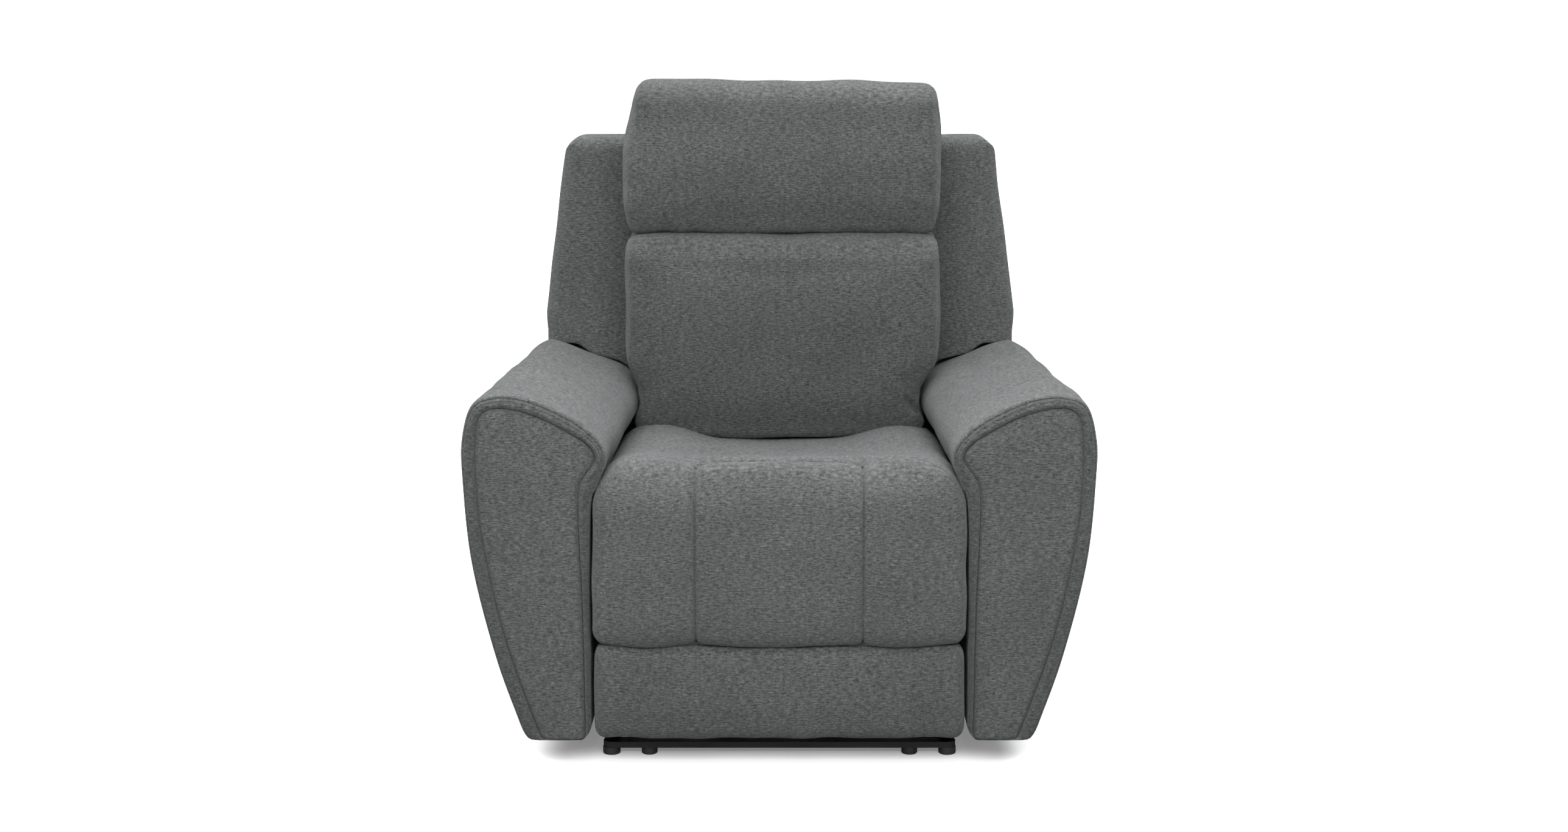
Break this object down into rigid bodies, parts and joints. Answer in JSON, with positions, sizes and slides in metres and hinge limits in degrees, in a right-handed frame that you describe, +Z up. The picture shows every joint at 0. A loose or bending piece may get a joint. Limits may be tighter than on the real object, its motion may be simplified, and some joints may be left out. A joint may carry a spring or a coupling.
{
  "type": "recliner armchair",
  "caption": "Upholstered power recliner armchair with rolled arms, chaise seat, folding legrest and a reclining back with lumbar and head cushions.",
  "frame": {"origin": "centre of the bounding box's footprint, on the floor", "axes": "+Z up, the chair faces -Y, +X to the right of a viewer who faces the chair"},
  "size_m": [1.0038, 0.94, 1.079],
  "materials": {
    "fabric": "matte woven",
    "plywood": "raw",
    "black_steel": "semi-gloss powder coat",
    "zinc_steel": "zinc plated",
    "black_plastic": "fine texture"
  },
  "bodies": {
    "chair": {"base_front_bar": "black_steel", "base_rear_bar": "black_steel", "base_middle_bar": "black_steel", "base_rail_left": "black_steel", "base_rail_right": "black_steel", "glide_front_outer_left": "black_plastic", "glide_front_inner_left": "black_plastic", "glide_rear_left": "black_plastic", "glide_front_outer_right": "black_plastic", "glide_front_inner_right": "black_plastic", "glide_rear_right": "black_plastic", "seat_front_rail": "plywood", "seat_rear_rail": "plywood", "side_plate_left": "zinc_steel", "side_plate_right": "zinc_steel", "seat_side_rail_left": "plywood", "seat_side_rail_right": "plywood", "seat_spring_left": "zinc_steel", "seat_spring_right": "zinc_steel", "seat_spring_middle": "zinc_steel", "seat_cushion": "fabric", "arm_cover_left": "fabric", "arm_cover_right": "fabric", "arm_front_panel_left": "fabric", "arm_front_panel_right": "fabric", "arm_frame_left": "plywood", "arm_frame_right": "plywood", "control_bezel": "black_plastic", "legrest_motor": "black_plastic", "recline_motor": "black_plastic", "rear_skirt": "fabric", "power_inlet": "black_plastic"},
    "legrest": {"legrest_board": "plywood", "chaise_pad": "fabric", "footrest_pad": "fabric", "legrest_bracket_left": "zinc_steel", "legrest_bracket_right": "zinc_steel", "hinge_bracket_left": "zinc_steel", "hinge_bracket_right": "zinc_steel"},
    "drive_links": {"drive_tube": "zinc_steel", "lower_link_left": "zinc_steel", "lower_link_right": "zinc_steel"},
    "upper_links": {"upper_link_left": "zinc_steel", "upper_link_right": "zinc_steel"},
    "legrest_slide": {"legrest_carriage": "black_plastic"},
    "backrest": {"back_pivot_tube": "zinc_steel", "back_post_left": "plywood", "back_post_right": "plywood", "back_bracket_left": "zinc_steel", "back_bracket_right": "zinc_steel", "back_top_rail": "plywood", "back_middle_rail": "plywood", "back_cover": "fabric", "back_rear_panel": "fabric", "lumbar_cushion": "fabric", "head_cushion": "fabric"},
    "recline_slide": {"recline_carriage": "black_plastic"},
    "open_button": {"button_open": "black_plastic"},
    "close_button": {"button_close": "black_plastic"}
  },
  "joints": [
    {"name": "legrest_swing", "type": "hinge", "parent": "chair", "child": "legrest", "pos_m": [0, -0.393, 0.42], "axis": [-1, 0, 0], "range_deg": [0, 85]},
    {"name": "drive_turn", "type": "hinge", "parent": "chair", "child": "drive_links", "pos_m": [0, -0.208, 0.32], "axis": [-1, 0, 0], "range_deg": [0, 85]},
    {"name": "upper_link_turn", "type": "hinge", "parent": "drive_links", "child": "upper_links", "pos_m": [0, -0.183, 0.12], "axis": [-1, 0, 0], "range_deg": [-85, 0]},
    {"name": "legrest_slide_travel", "type": "slide", "parent": "chair", "child": "legrest_slide", "axis": [0, -1, 0], "range_m": [0, 0.0608]},
    {"name": "recline", "type": "hinge", "parent": "chair", "child": "backrest", "pos_m": [0, 0.192, 0.3], "axis": [-1, 0, 0], "range_deg": [0, 38]},
    {"name": "recline_slide_travel", "type": "slide", "parent": "chair", "child": "recline_slide", "axis": [0, -1, 0], "range_m": [0, 0.05209]},
    {"name": "button_open_press", "type": "slide", "parent": "chair", "child": "open_button", "axis": [1, 0, 0], "range_m": [0, 0.002], "stiffness_N_per_m": 800},
    {"name": "button_close_press", "type": "slide", "parent": "chair", "child": "close_button", "axis": [1, 0, 0], "range_m": [0, 0.002], "stiffness_N_per_m": 800}
  ],
  "couplings": [
    {"joint": "drive_turn", "follows": "legrest_swing", "ratio": 1},
    {"joint": "upper_link_turn", "follows": "legrest_swing", "ratio": -1},
    {"joint": "legrest_slide_travel", "follows": "legrest_swing", "m_per_rad": 0.040984},
    {"joint": "recline_slide_travel", "follows": "recline", "m_per_rad": 0.078539}
  ]
}
